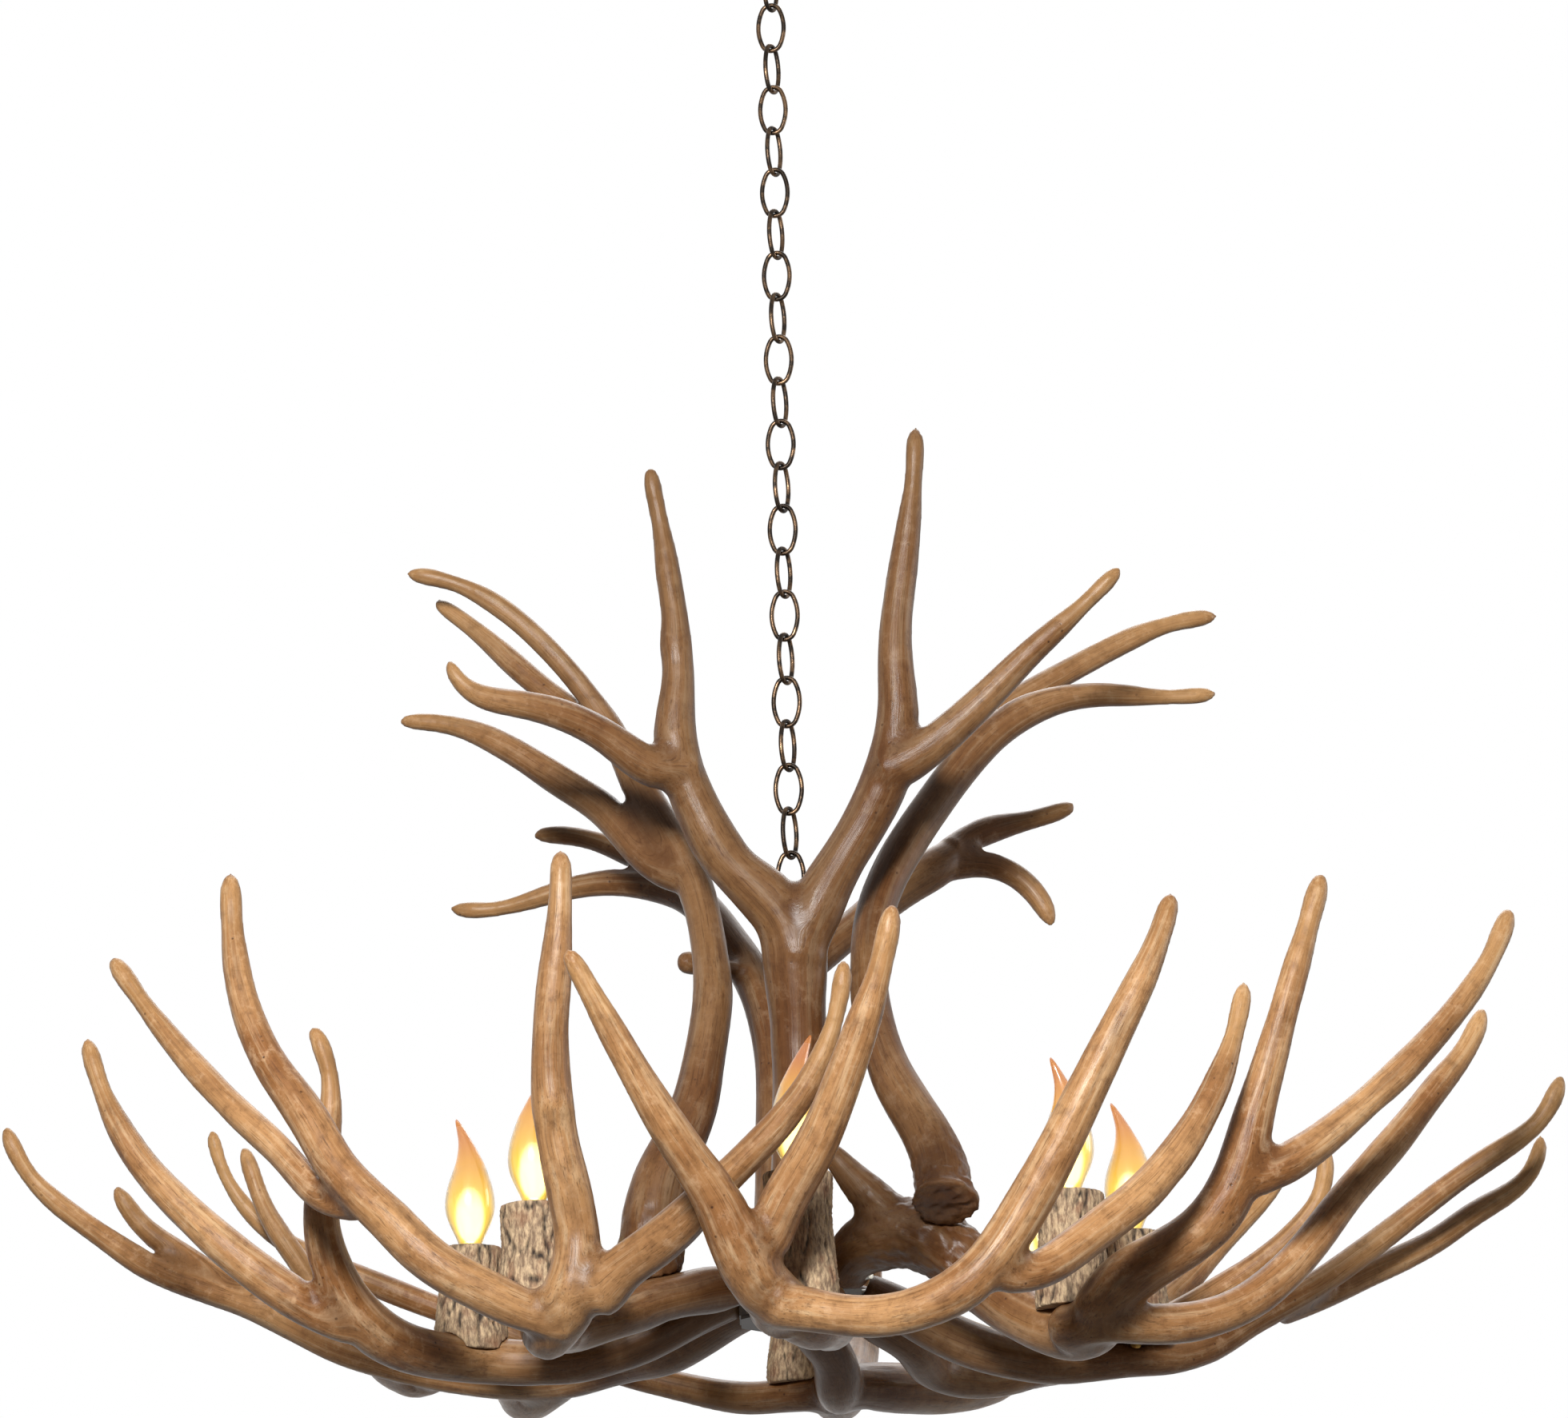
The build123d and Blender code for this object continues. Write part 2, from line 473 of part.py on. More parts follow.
# ---------------------------------------------------------------- candles
def make_sleeve(name):
    """A bark sleeve with a wider foot, coped over the antler it stands on."""
    x, y, foot, _ = CANDLES[name]
    bottom = foot - SLEEVE_COPE
    radius = SLEEVE_DIAMETER / 2
    outline = Polyline(
        (SLEEVE_BORE / 2, 0), (radius - RIM_INSET, 0), (radius, -RIM_DEPTH),
        (radius - RIM_INSET, foot * SLEEVE_WAIST),
        (radius + SLEEVE_FLARE, foot + FLARE_HEIGHT), (radius + SLEEVE_FLARE, bottom),
        (SLEEVE_BORE / 2, bottom), (SLEEVE_BORE / 2, 0),
    )
    sleeve = Pos(x, y, 0) * revolve(Plane.XZ * make_face(outline), Axis.Z)
    for points in LOWER_ANTLERS[name]:
        sleeve -= limb(points, 2 * RUNNING_GAP)
    largest = sleeve.solids().sort_by(SortBy.VOLUME)[-1]
    export(lowered(largest), f"bark_sleeve_{name}")


def flame(shrink):
    sections = [Pos(bend, 0, z) * Circle(r - shrink) for z, r, bend in BULB_SECTIONS]
    wires = [section.face().outer_wire() for section in sections]
    tip_height, tip_bend = BULB_TIP
    return Solid.make_loft(wires + [Vertex(tip_bend, 0, tip_height - 2 * shrink)])


def make_bulb(name, glass):
    x, y, _, tip_direction = CANDLES[name]
    base = Pos(0, 0, GLASS_FOOT) * Cylinder(
        BASE_DIAMETER / 2, BASE_LENGTH, align=(Align.CENTER, Align.CENTER, Align.MAX)
    )
    base = chamfer(base.edges().group_by(Axis.Z)[0], BASE_CHAMFER)
    bulb = Pos(x, y, 0) * Rot(0, 0, tip_direction) * Compound([glass, base])
    export(lowered(bulb), f"bulb_{name}")


def make_sockets():
    bore_depth = SOCKET_TOP - (GLASS_FOOT - BASE_LENGTH) + RUNNING_GAP
    down = (Align.CENTER, Align.CENTER, Align.MAX)
    cup = Cylinder(SOCKET_DIAMETER / 2, SOCKET_LENGTH, align=down)
    cup -= Cylinder(BASE_DIAMETER / 2 + RUNNING_GAP, bore_depth, align=down)
    sockets = []
    studs = []
    for x, y, foot, _ in CANDLES.values():
        sockets.append(Pos(x, y, SOCKET_TOP) * cup)
        top = SOCKET_TOP - SOCKET_LENGTH
        length = top - (foot - STUD_GRIP)
        studs.append(Pos(x, y, top) * Cylinder(STUD_DIAMETER / 2, length, align=down))
    export(lowered(Compound(sockets)), "lamp_sockets")
    export(lowered(Compound(studs)), "socket_studs")


os.makedirs("parts", exist_ok=True)
make_loops()
make_chain()
make_lower_antlers()
make_upper_antlers()
make_hub()
make_stem()
make_screws()
make_sockets()
bulb_glass = flame(0.0) - flame(GLASS_WALL)
for candle_name in CANDLES:
    make_sleeve(candle_name)
    make_bulb(candle_name, bulb_glass)
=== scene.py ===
import bmesh
import bpy
import json
import math
import numpy as np
from mathutils import Matrix, Vector, noise
from mathutils.bvhtree import BVHTree


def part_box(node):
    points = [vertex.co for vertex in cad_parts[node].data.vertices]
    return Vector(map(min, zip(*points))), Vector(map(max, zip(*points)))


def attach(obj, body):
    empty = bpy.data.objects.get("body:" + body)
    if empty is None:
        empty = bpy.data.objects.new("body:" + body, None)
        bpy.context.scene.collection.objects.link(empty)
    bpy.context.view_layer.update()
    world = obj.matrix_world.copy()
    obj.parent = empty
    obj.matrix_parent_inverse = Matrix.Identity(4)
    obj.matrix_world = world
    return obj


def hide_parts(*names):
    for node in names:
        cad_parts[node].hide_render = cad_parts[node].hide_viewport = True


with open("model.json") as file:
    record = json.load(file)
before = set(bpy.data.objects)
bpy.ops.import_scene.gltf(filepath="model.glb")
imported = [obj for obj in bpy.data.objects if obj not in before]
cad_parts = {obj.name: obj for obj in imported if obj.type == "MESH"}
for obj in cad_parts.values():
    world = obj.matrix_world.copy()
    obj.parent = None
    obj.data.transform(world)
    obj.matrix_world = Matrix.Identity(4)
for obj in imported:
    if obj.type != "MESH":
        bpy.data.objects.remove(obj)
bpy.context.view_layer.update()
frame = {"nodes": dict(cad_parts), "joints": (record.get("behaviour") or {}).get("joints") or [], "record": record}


# ------------------------------------------------------------ camera
# The lamp was photographed from below and a little way off, so the view looks up
# at it through a long lens and leans by about a degree.
rim_height = frame["record"]["behaviour"]["joints"][-1]["pos_m"][2]
camera_distance = 4.4
camera_drop = 0.885          # how far it stands below the candles' rims
upward_tilt = 16.05
sideways_lean = -1.33
camera = bpy.data.objects.new("camera", bpy.data.cameras.new("camera"))
bpy.context.scene.collection.objects.link(camera)
camera.data.sensor_fit = "HORIZONTAL"
camera.data.sensor_width = 36.0
camera.data.lens = 149.5
camera.data.shift_x = -0.0018
camera.data.clip_end = 60.0
look_up = Matrix.Rotation(math.radians(90 + upward_tilt), 4, "X")
lean = Matrix.Rotation(math.radians(sideways_lean), 4, "Z")
stand = Matrix.Translation((0, -camera_distance, rim_height - camera_drop))
camera.matrix_world = stand @ look_up @ lean
bpy.context.scene.camera = camera


# ------------------------------------------------------------ ceiling loop, chain and stem loop
# Oval links bent from 3.3 mm steel wire, butt closed, and two cast loops. All are plated
# and oiled to a dark bronze, which is nearly black and shows warm brown where it is rubbed.
def linear(hex_colour):
    """An sRGB hex colour as the linear RGBA that a shader takes."""
    parts = [int(hex_colour[i:i + 2], 16) / 255 for i in (1, 3, 5)]
    return [c / 12.92 if c <= 0.04045 else ((c + 0.055) / 1.055) ** 2.4 for c in parts] + [1.0]


def put(material, kind, inputs=None, **settings):
    """Add a node with its settings, and give or link its inputs.

    A Map Range takes its value, the range it comes from and the range it goes to as inputs
    0 to 4. A colour Mix takes its factor and its two colours as inputs 0, 6 and 7.
    """
    node = material.node_tree.nodes.new(kind)
    for name, value in settings.items():
        setattr(node, name, value)
    for name, value in (inputs or {}).items():
        if isinstance(value, bpy.types.NodeSocket):
            material.node_tree.links.new(value, node.inputs[name])
        else:
            node.inputs[name].default_value = value
    return node


def finish_named(name):
    """A new material with only its output, ready for the nodes of one finish."""
    material = bpy.data.materials.new(name)
    material.use_nodes = True
    material.node_tree.nodes.clear()
    material.node_tree.nodes.new("ShaderNodeOutputMaterial")
    return material


def close_with(material, shader):
    """Link the finished shader to the material's surface."""
    output = material.node_tree.nodes["Material Output"]
    material.node_tree.links.new(shader.outputs[0], output.inputs["Surface"])


def dress(node, material):
    """Give a CAD node a material."""
    mesh = frame["nodes"][node].data
    mesh.materials.clear()
    mesh.materials.append(material)


# Plated steel wire: handling wears the plating to brown in patches about 6 mm wide, and
# the drawn wire keeps faint waves, about 1.5 mm apart, that break up its highlights.
oiled_bronze = finish_named("oiled_bronze_plated_steel")
metal_place = put(oiled_bronze, "ShaderNodeTexCoord").outputs["Object"]
worn = put(oiled_bronze, "ShaderNodeTexNoise", {"Vector": metal_place, "Scale": 160.0, "Detail": 4.0})
wear = put(oiled_bronze, "ShaderNodeMapRange", {0: worn.outputs[0], 1: 0.42, 2: 0.68, 3: 0.0, 4: 1.0})
bronze_colour = put(
    oiled_bronze, "ShaderNodeMix",
    {0: wear.outputs[0], 6: linear("#2b2520"), 7: linear("#6a5440")}, data_type="RGBA",
)
bronze_gloss = put(oiled_bronze, "ShaderNodeMapRange", {
    0: wear.outputs[0], 1: 0.0, 2: 1.0, 3: 0.42, 4: 0.27,
})
waves = put(oiled_bronze, "ShaderNodeTexNoise", {"Vector": metal_place, "Scale": 650.0, "Detail": 2.0})
wire_bump = put(oiled_bronze, "ShaderNodeBump", {
    "Height": waves.outputs[0], "Strength": 0.25, "Distance": 0.0004,
})
close_with(oiled_bronze, put(oiled_bronze, "ShaderNodeBsdfPrincipled", {
    "Base Color": bronze_colour.outputs[2], "Metallic": 1.0,
    "Roughness": bronze_gloss.outputs[0], "Normal": wire_bump.outputs[0],
}))
for node in frame["nodes"]:
    if node.startswith("chain_link") or node in ("ceiling_loop", "stem_loop"):
        dress(node, oiled_bronze)


# ------------------------------------------------------------ hub, cover, stem, nuts and screws
# The hub is a steel shell painted brown-black, closed by a flat cover; the antlers are
# screwed to it from inside. Stem, nuts and screws are plain zinc-plated steel.
hub_paint = finish_named("brown_black_enamel_on_steel")
hub_place = put(hub_paint, "ShaderNodeTexCoord").outputs["Object"]
orange_peel = put(hub_paint, "ShaderNodeTexNoise", {"Vector": hub_place, "Scale": 420.0, "Detail": 3.0})
dusty = put(hub_paint, "ShaderNodeTexNoise", {"Vector": hub_place, "Scale": 35.0, "Detail": 5.0})
paint_colour = put(
    hub_paint, "ShaderNodeMix",
    {0: dusty.outputs[0], 6: linear("#2a211b"), 7: linear("#45372c")}, data_type="RGBA",
)
paint_bump = put(hub_paint, "ShaderNodeBump", {
    "Height": orange_peel.outputs[0], "Strength": 0.2, "Distance": 0.0003,
})
close_with(hub_paint, put(hub_paint, "ShaderNodeBsdfPrincipled", {
    "Base Color": paint_colour.outputs[2], "Roughness": 0.5, "Normal": paint_bump.outputs[0],
}))
zinc = finish_named("zinc_plated_steel")
zinc_place = put(zinc, "ShaderNodeTexCoord").outputs["Object"]
spangle = put(zinc, "ShaderNodeTexVoronoi", {"Vector": zinc_place, "Scale": 300.0})
zinc_gloss = put(zinc, "ShaderNodeMapRange", {0: spangle.outputs[0], 1: 0.0, 2: 1.0, 3: 0.3, 4: 0.5})
zinc_colour = put(
    zinc, "ShaderNodeMix",
    {0: spangle.outputs[0], 6: linear("#a8a69f"), 7: linear("#8b887f")}, data_type="RGBA",
)
close_with(zinc, put(zinc, "ShaderNodeBsdfPrincipled", {
    "Base Color": zinc_colour.outputs[2], "Metallic": 1.0, "Roughness": zinc_gloss.outputs[0],
}))
for node in ("hub", "hub_cover"):
    dress(node, hub_paint)
for node in ("stem", "stem_nuts", "wood_screws"):
    dress(node, zinc)


# ------------------------------------------------------------ lamp sockets and their studs
# Each socket is a moulded phenolic cup that holds the bulb's screw base. It sits on a
# threaded brass stud, which is screwed into the antler below.
phenolic = finish_named("moulded_phenolic")
cup_place = put(phenolic, "ShaderNodeTexCoord").outputs["Object"]
flow = put(phenolic, "ShaderNodeTexNoise", {"Vector": cup_place, "Scale": 120.0, "Detail": 4.0})
cup_colour = put(
    phenolic, "ShaderNodeMix",
    {0: flow.outputs[0], 6: linear("#1d1815"), 7: linear("#3a2f29")}, data_type="RGBA",
)
close_with(phenolic, put(phenolic, "ShaderNodeBsdfPrincipled", {
    "Base Color": cup_colour.outputs[2], "Roughness": 0.35,
}))
dress("lamp_sockets", phenolic)
brass = finish_named("turned_brass")
brass_place = put(brass, "ShaderNodeTexCoord").outputs["Object"]
turning = put(brass, "ShaderNodeTexNoise", {"Vector": brass_place, "Scale": 240.0, "Detail": 3.0})
brass_colour = put(
    brass, "ShaderNodeMix",
    {0: turning.outputs[0], 6: linear("#c9a660"), 7: linear("#a37f43")}, data_type="RGBA",
)
close_with(brass, put(brass, "ShaderNodeBsdfPrincipled", {
    "Base Color": brass_colour.outputs[2], "Metallic": 1.0, "Roughness": 0.28,
}))
dress("socket_studs", brass)


# ------------------------------------------------------------ antlers
# Each antler is cast in resin from a shed one: a round beam with tapering tines, webbed at
# the forks, grooved along its length, pearled near the butt and polished at the tips.
cast_step = 0.0021           # spacing of the cast skin's points
smooth_rounds = 20           # each evens the skin's steps out and back, so it keeps its size
share_out = 0.5
share_back = -0.52
fork_sink = 0.00025          # where the skin lies this much below its surroundings, it forks
fork_widening = 10           # rounds that widen the place
fork_gain = 4
fork_web = 48                # rounds that draw the skin smooth there
web_share = 0.9
grain_across = 0.015         # the stain's grain runs along a limb, as it varies more across
grain_along = 0.07
groove_depth = 0.00055
groove_gain = 1.3
groove_loss = 0.75           # share of their depth that the grooves lose at a tip
grooves_per_metre = 210
swell_height = 0.0009
swells_per_metre = 22
pearl_height = 0.0016
pearl_fade = 1.6             # above 1, so that the pearls stay full over a part of their reach
pearls_per_metre = 130
beam_thickness = 0.020       # thicker than this is no tip
tip_taper = 0.012            # and a tip is thinner than that by this much
thickness_rounds = 40        # rounds that even out the measured thickness


def merged_copy(node):
    """A copy of a CAD node's mesh with its loose triangles joined."""
    shell = bmesh.new()
    shell.from_mesh(frame["nodes"][node].data)
    bmesh.ops.remove_doubles(shell, verts=shell.verts, dist=1e-6)
    mesh = bpy.data.meshes.new(node + "_skin")
    shell.to_mesh(mesh)
    shell.free()
    return mesh


def even_skin(mesh, step):
    """The same closed form with evenly spaced points."""
    holder = bpy.data.objects.new("holder", mesh)
    bpy.context.scene.collection.objects.link(holder)
    remesh = holder.modifiers.new("even", "REMESH")
    remesh.mode = "VOXEL"
    remesh.voxel_size = step
    bpy.context.view_layer.update()
    posed = holder.evaluated_get(bpy.context.evaluated_depsgraph_get())
    skin = bpy.data.meshes.new_from_object(posed)
    bpy.data.objects.remove(holder)
    return skin


def read_vectors(mesh, name):
    """Positions or normals of a mesh's points as an array."""
    values = np.empty(len(mesh.vertices) * 3, dtype=np.float32)
    mesh.vertices.foreach_get(name, values)
    return values.reshape(-1, 3).astype(float)


def spread(values, ends, rounds, share=0.5):
    """Even out values over the skin, from each point to its neighbours."""
    first, second = ends[:, 0], ends[:, 1]
    count = len(values)
    neighbours = np.maximum(np.bincount(ends.ravel(), minlength=count), 1)
    columns = values.reshape(count, -1)
    for _ in range(rounds):
        summed = np.stack([
            np.bincount(first, column[second], count) + np.bincount(second, column[first], count)
            for column in columns.T
        ], axis=1)
        columns = columns + share * (summed / neighbours[:, None] - columns)
    return columns.reshape(values.shape)


def unit(vectors):
    """The same directions, one long."""
    return vectors / np.maximum(np.linalg.norm(vectors, axis=1, keepdims=True), 1e-9)


def move_points(mesh, places):
    """Set a mesh's points and let it find its normals again."""
    mesh.vertices.foreach_set("co", places.astype(np.float32).ravel())
    mesh.update()


def store(mesh, name, values):
    """Keep a value or a vector for each point, for the material to read."""
    kind, field = ("FLOAT_VECTOR", "vector") if values.ndim == 2 else ("FLOAT", "value")
    layer = mesh.attributes.new(name, kind, "POINT")
    layer.data.foreach_set(field, values.astype(np.float32).ravel())


def add_piece(mesh, name, node, body, material):
    """Show a finished mesh in place of its CAD node."""
    mesh.materials.clear()
    mesh.materials.append(material)
    mesh.polygons.foreach_set("use_smooth", [True] * len(mesh.polygons))
    piece = bpy.data.objects.new(name, mesh)
    bpy.context.scene.collection.objects.link(piece)
    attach(piece, body)
    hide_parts(node)
    return piece


def cast_antler(node, burrs):
    """The antler's skin: webbed forks, grooves along the grain, pearls round its burrs."""
    mesh = even_skin(merged_copy(node), cast_step)
    ends = np.array([edge.vertices[:] for edge in mesh.edges])
    places = read_vectors(mesh, "co")
    for _ in range(smooth_rounds):
        places = spread(spread(places, ends, 1, share_out), ends, 1, share_back)
    move_points(mesh, places)
    outward = unit(read_vectors(mesh, "normal"))
    pulled = spread(places, ends, 3, 1.0) - places
    hollow = np.clip((pulled * outward).sum(axis=1) / fork_sink, 0, 1)
    hollow = np.clip(spread(hollow, ends, fork_widening) * fork_gain, 0, 1)[:, None]
    for _ in range(fork_web):
        places = places + hollow * (spread(places, ends, 1, web_share) - places)
    move_points(mesh, places)
    outward = unit(spread(unit(read_vectors(mesh, "normal")), ends, 12))
    grain = grain_across * outward + grain_along * places
    near_burr = np.zeros(len(places))
    for centre, reach in burrs:
        distance = np.linalg.norm(places - np.array(centre), axis=1)
        nearness = pearl_fade - pearl_fade * distance / reach
        near_burr = np.maximum(near_burr, np.clip(nearness, 0, 1))
    grooves = np.array([noise.fractal(Vector(g) * grooves_per_metre, 0.9, 2.1, 3) for g in grain])
    grooves = spread(grooves, ends, 2)
    swells = np.array([noise.noise(Vector(p) * swells_per_metre) for p in places])
    pearls = np.array([
        noise.fractal(Vector(p) * pearls_per_metre, 0.6, 2.0, 2) if b > 0 else 0.0
        for p, b in zip(places, near_burr)
    ])
    slim = thinness(mesh, places, outward, ends)
    furrow = np.clip(-grooves * groove_gain, 0, 1)
    rise = -groove_depth * furrow * (1 - groove_loss * slim) + swell_height * swells * (1 - slim)
    rise += pearl_height * near_burr * pearls
    places = places + outward * rise[:, None]
    move_points(mesh, places)
    store(mesh, "grain", grain)
    store(mesh, "furrow", furrow)
    store(mesh, "slim", slim)
    store(mesh, "burr", near_burr)
    # The fork measure is kept so that the material can paint shade into the forks.
    store(mesh, "fork_shade", spread(hollow[:, 0], ends, 12))
    return mesh


def thinness(mesh, places, outward, ends):
    """How near each point is to a tine's tip: 0 on a thick beam, 1 at a thin tip."""
    tree = BVHTree.FromPolygons(places.tolist(), [p.vertices[:] for p in mesh.polygons])
    across = []
    for place, normal in zip(places.tolist(), outward.tolist()):
        start = Vector(place)
        inward = -Vector(normal)
        distance = tree.ray_cast(start + inward * 0.001, inward)[3]
        across.append(beam_thickness if distance is None else distance)
    thick = spread(np.array(across), ends, thickness_rounds)
    return np.clip((beam_thickness - thick) / tip_taper, 0, 1)


# Cast polyester resin, stained by hand: brown stain stays in the grooves and pits, and the burrs are darker.
# The forks carry painted shade, and the colour darkens towards the hub, partly stain and partly painted
# shade where the antlers crowd together. The stain is wiped off the ridges and tips, which leaves cream streaks
# and mottles. Satin lacquer over it.
stained_resin = finish_named("hand_stained_cast_resin")
grain_field = put(stained_resin, "ShaderNodeAttribute", attribute_name="grain").outputs["Vector"]
tip_field = put(stained_resin, "ShaderNodeAttribute", attribute_name="slim").outputs["Fac"]
furrow_field = put(stained_resin, "ShaderNodeAttribute", attribute_name="furrow").outputs["Fac"]
burr_field = put(stained_resin, "ShaderNodeAttribute", attribute_name="burr").outputs["Fac"]
fork_shade_field = put(stained_resin, "ShaderNodeAttribute", attribute_name="fork_shade").outputs["Fac"]
resin_place = put(stained_resin, "ShaderNodeTexCoord").outputs["Object"]
stain = put(stained_resin, "ShaderNodeTexNoise", {"Vector": resin_place, "Scale": 11.0, "Detail": 4.0})
streaks = put(stained_resin, "ShaderNodeTexNoise", {
    "Vector": grain_field, "Scale": 190.0, "Detail": 5.0, "Roughness": 0.6,
})
hairs = put(stained_resin, "ShaderNodeTexNoise", {
    "Vector": grain_field, "Scale": 900.0, "Detail": 3.0, "Roughness": 0.65,
})
pits = put(stained_resin, "ShaderNodeTexVoronoi", {"Vector": resin_place, "Scale": 105.0, "Randomness": 1.0})
broad = put(stained_resin, "ShaderNodeMapRange", {0: stain.outputs[0], 1: 0.35, 2: 0.65, 3: 0.0, 4: 1.0})
tan = put(
    stained_resin, "ShaderNodeMix",
    {0: broad.outputs[0], 6: linear("#8b5d36"), 7: linear("#bd8f60")}, data_type="RGBA",
)
wiped = put(stained_resin, "ShaderNodeMapRange", {0: streaks.outputs[0], 1: 0.50, 2: 0.72, 3: 0.0, 4: 0.42})
creamy = put(
    stained_resin, "ShaderNodeMix",
    {0: wiped.outputs[0], 6: tan.outputs[2], 7: linear("#e6cba4")}, data_type="RGBA",
)
dark_streak = put(stained_resin, "ShaderNodeMapRange", {
    0: streaks.outputs[0], 1: 0.47, 2: 0.26, 3: 0.0, 4: 0.45,
})
streaked = put(
    stained_resin, "ShaderNodeMix",
    {0: dark_streak.outputs[0], 6: creamy.outputs[2], 7: linear("#40220f")}, data_type="RGBA",
)
hairline = put(stained_resin, "ShaderNodeMapRange", {0: hairs.outputs[0], 1: 0.46, 2: 0.30, 3: 0.0, 4: 0.6})
lined = put(
    stained_resin, "ShaderNodeMix",
    {0: hairline.outputs[0], 6: streaked.outputs[2], 7: linear("#3a2110")}, data_type="RGBA",
)
mottle = put(stained_resin, "ShaderNodeTexNoise", {
    "Vector": resin_place, "Scale": 85.0, "Detail": 6.0, "Roughness": 0.72,
})
blotch = put(stained_resin, "ShaderNodeMapRange", {0: mottle.outputs[0], 1: 0.48, 2: 0.32, 3: 0.0, 4: 0.45})
blotched = put(
    stained_resin, "ShaderNodeMix",
    {0: blotch.outputs[0], 6: lined.outputs[2], 7: linear("#4f2f19")}, data_type="RGBA",
)
rubbed = put(stained_resin, "ShaderNodeMapRange", {0: mottle.outputs[0], 1: 0.54, 2: 0.70, 3: 0.0, 4: 0.45})
mottled = put(
    stained_resin, "ShaderNodeMix",
    {0: rubbed.outputs[0], 6: blotched.outputs[2], 7: linear("#dcb68e")}, data_type="RGBA",
)
pooled = put(stained_resin, "ShaderNodeMapRange", {0: furrow_field, 1: 0.15, 2: 0.8, 3: 0.0, 4: 0.4})
grooved = put(
    stained_resin, "ShaderNodeMix",
    {0: pooled.outputs[0], 6: mottled.outputs[2], 7: linear("#472812")}, data_type="RGBA",
)
tip_clean = put(stained_resin, "ShaderNodeMapRange", {0: tip_field, 1: 0.1, 2: 0.9, 3: 0.0, 4: 0.4})
tipped = put(
    stained_resin, "ShaderNodeMix",
    {0: tip_clean.outputs[0], 6: grooved.outputs[2], 7: linear("#bd9562")}, data_type="RGBA",
)
# Darker at the burrs, which is their own colour, and in the forks, which is painted shade where the tines meet.
burrs_and_fork_shade = put(stained_resin, "ShaderNodeMath", {0: burr_field, 1: fork_shade_field}, operation="MAXIMUM")
burr_dark_and_fork_shade = put(stained_resin, "ShaderNodeMapRange", {
    0: burrs_and_fork_shade.outputs[0], 1: 0.0, 2: 1.0, 3: 0.0, 4: 0.5,
})
burr_and_fork_shaded = put(
    stained_resin, "ShaderNodeMix",
    {0: burr_dark_and_fork_shade.outputs[0], 6: tipped.outputs[2], 7: linear("#4c2c16")}, data_type="RGBA",
)
# Darker towards the hub: partly stain, partly painted shade where the antlers crowd round it.
level_place = put(stained_resin, "ShaderNodeVectorMath", {
    0: resin_place, 1: (1.0, 1.0, 0.0),
}, operation="MULTIPLY")
from_hub = put(stained_resin, "ShaderNodeVectorMath", {0: level_place.outputs[0]}, operation="LENGTH")
hub_stain_and_shade = put(stained_resin, "ShaderNodeMapRange", {
    0: from_hub.outputs["Value"], 1: 0.36, 2: 0.10, 3: 0.0, 4: 0.68,
})
hub_stained_and_shaded = put(
    stained_resin, "ShaderNodeMix",
    {0: hub_stain_and_shade.outputs[0], 6: burr_and_fork_shaded.outputs[2], 7: linear("#3d2210")}, data_type="RGBA",
)
pit_depth = put(stained_resin, "ShaderNodeMapRange", {0: pits.outputs[0], 1: 0.03, 2: 0.13, 3: 0.0, 4: 1.0})
unpitted = put(stained_resin, "ShaderNodeMapRange", {0: stain.outputs[0], 1: 0.38, 2: 0.46, 3: 0.0, 4: 1.0})
pit_rise = put(stained_resin, "ShaderNodeMath", {
    0: pit_depth.outputs[0], 1: unpitted.outputs[0],
}, operation="MAXIMUM")
resin_colour = put(
    stained_resin, "ShaderNodeMix",
    {0: pit_rise.outputs[0], 6: linear("#3b2314"), 7: hub_stained_and_shaded.outputs[2]}, data_type="RGBA",
)
fine_relief = put(stained_resin, "ShaderNodeMath", {
    0: streaks.outputs[0], 1: hairs.outputs[0],
}, operation="ADD")
relief = put(stained_resin, "ShaderNodeMath", {
    0: fine_relief.outputs[0], 1: pit_rise.outputs[0],
}, operation="ADD")
polish = put(stained_resin, "ShaderNodeMapRange", {0: tip_field, 1: 0.0, 2: 1.0, 3: 0.28, 4: 0.1})
resin_bump = put(stained_resin, "ShaderNodeBump", {
    "Height": relief.outputs[0], "Strength": polish.outputs[0], "Distance": 0.0009,
})
lacquer = put(stained_resin, "ShaderNodeMapRange", {0: streaks.outputs[0], 1: 0.3, 2: 0.7, 3: 0.40, 4: 0.28})
close_with(stained_resin, put(stained_resin, "ShaderNodeBsdfPrincipled", {
    "Base Color": resin_colour.outputs[2], "Roughness": lacquer.outputs[0],
    "Specular IOR Level": 0.16, "Normal": resin_bump.outputs[0],
}))

butt_height = rim_height - 0.02
burr_places = {
    "lower_antler_front_right": [((0.085, -0.085, butt_height), 0.075)],
    "upper_antler_right": [((0.098, -0.124, butt_height + 0.02), 0.06)],
    "upper_antler_left": [((-0.104, -0.067, butt_height - 0.02), 0.06)],
}
antler_nodes = [node for node in frame["nodes"] if "antler" in node]
for node in antler_nodes:
    skin = cast_antler(node, burr_places.get(node, []))
    add_piece(skin, node + "_cast", node, "antler_frame", stained_resin)


# ------------------------------------------------------------ bark sleeves
# Each candle is a tube of bark-covered resin, moulded from a stick: deep furrows run up it
# between flat plates, grey-tan on top, dark in the furrows and reddish at their edges.
bark_step = 0.0011
furrow_depth = 0.0034
bore_edge = 0.017            # radius inside which the sleeve stays smooth
bark_start = 0.003           # and how far outside it the bark reaches its full depth
stick_radius = 0.023
plate_stretch = 0.30         # the plates are this much less busy up the stick than round it
plates_per_metre = 95
plate_peak = 2.2             # the noise's usual highest value
furrow_edge = 0.42           # above this share of it a furrow begins
furrow_wall = 0.35           # and reaches its full depth this much higher
stick_shift = 7.0            # takes each stick's bark from another place in the noise
crumb_height = 0.0006
crumbs_per_metre = 420
candle_names = ["front", "front_left", "left", "back_left", "back", "back_right", "right", "front_right"]


